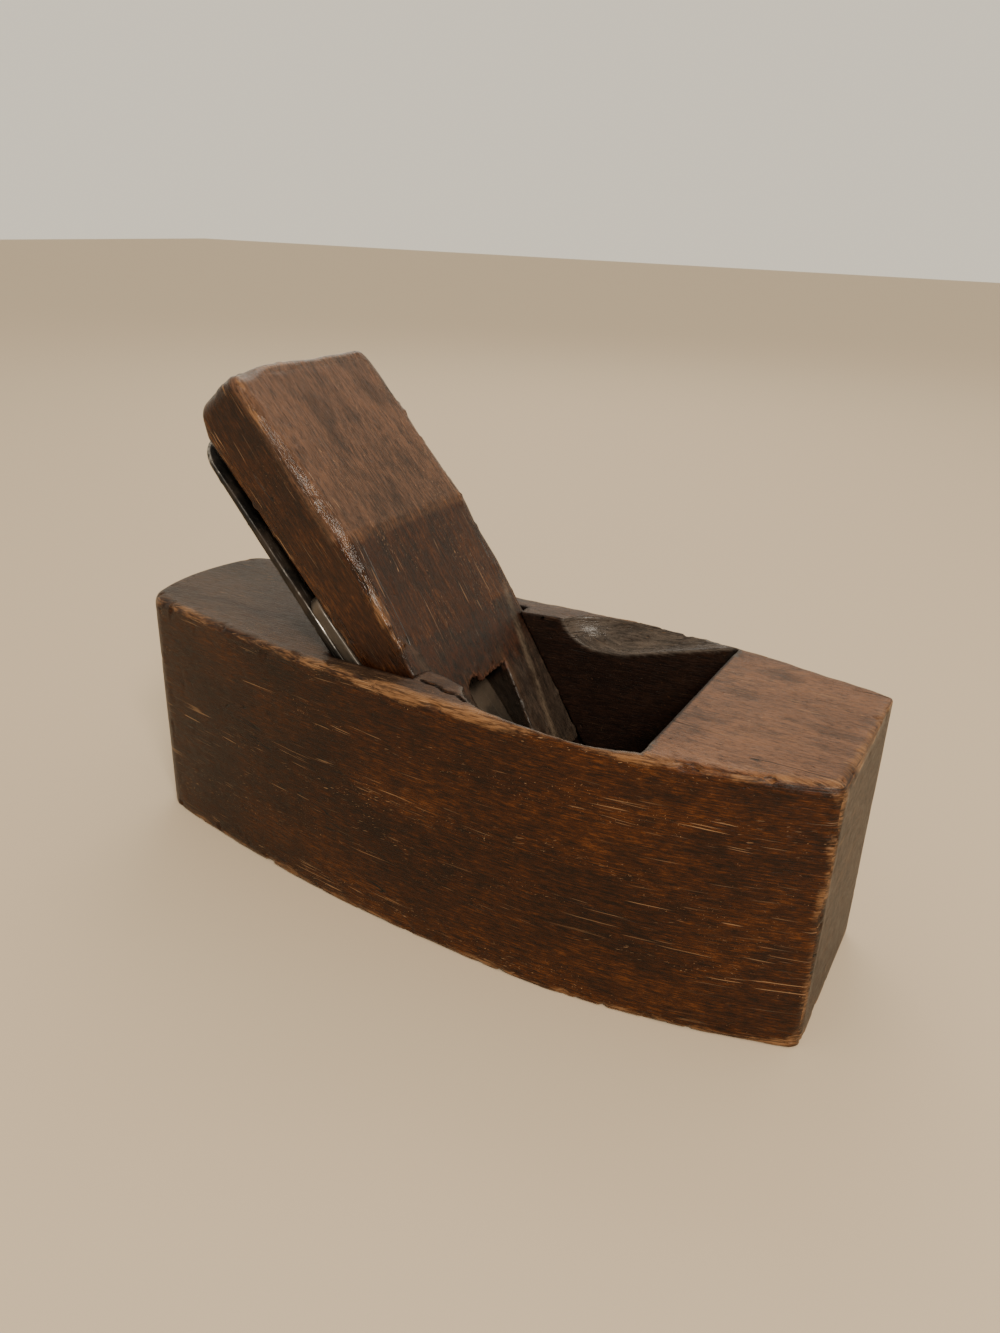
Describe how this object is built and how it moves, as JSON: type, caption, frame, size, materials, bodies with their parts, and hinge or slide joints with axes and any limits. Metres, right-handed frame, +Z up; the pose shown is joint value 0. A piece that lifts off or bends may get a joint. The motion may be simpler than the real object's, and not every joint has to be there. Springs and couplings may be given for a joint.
{
  "type": "hand plane",
  "caption": "Coffin-shaped wooden smoothing plane: open throat with scooped cheeks, tapered cutting iron, cap iron with screw and nut, and a pronged wedge.",
  "frame": {"origin": "centre of the sole, on the surface that the plane rests on", "axes": "+X along the stock from the heel to the toe, +Y across the stock to the left, +Z up from the sole"},
  "size_m": [0.2046, 0.0768, 0.1372],
  "materials": {
    "stock_beech": "old oiled beech, handled to a dull shine",
    "wedge_beech": "old oiled beech, darkened by handling",
    "iron_steel": "dark patinated steel with bright worn edges",
    "cap_steel": "grey-brown patinated steel",
    "nut_steel": "grey-brown patinated steel",
    "screw_steel": "dark turned steel"
  },
  "bodies": {
    "stock": {"stock": "stock_beech"},
    "cutting_iron": {"cutting_iron": "iron_steel"},
    "cap_iron": {"cap_iron": "cap_steel", "cap_iron_nut": "nut_steel"},
    "cap_iron_screw": {"cap_iron_screw": "screw_steel"},
    "wedge": {"wedge": "wedge_beech"}
  },
  "joints": [
    {"name": "iron_slide", "type": "slide", "parent": "stock", "child": "cutting_iron", "axis": [-0.6428, 0, 0.766], "range_m": [0, 0.096]},
    {"name": "cap_iron_slide", "type": "slide", "parent": "cutting_iron", "child": "cap_iron", "axis": [-0.661, 0, 0.7504], "range_m": [0, 0.048]},
    {"name": "screw_turn", "type": "hinge", "parent": "cap_iron", "child": "cap_iron_screw", "pos_m": [-0.0176, 0, 0.05822], "axis": [0.766, 0, 0.6428], "range_deg": [-1080, 0]},
    {"name": "wedge_slide", "type": "slide", "parent": "cap_iron", "child": "wedge", "axis": [-0.6701, 0, 0.7423], "range_m": [0, 0.075]}
  ]
}
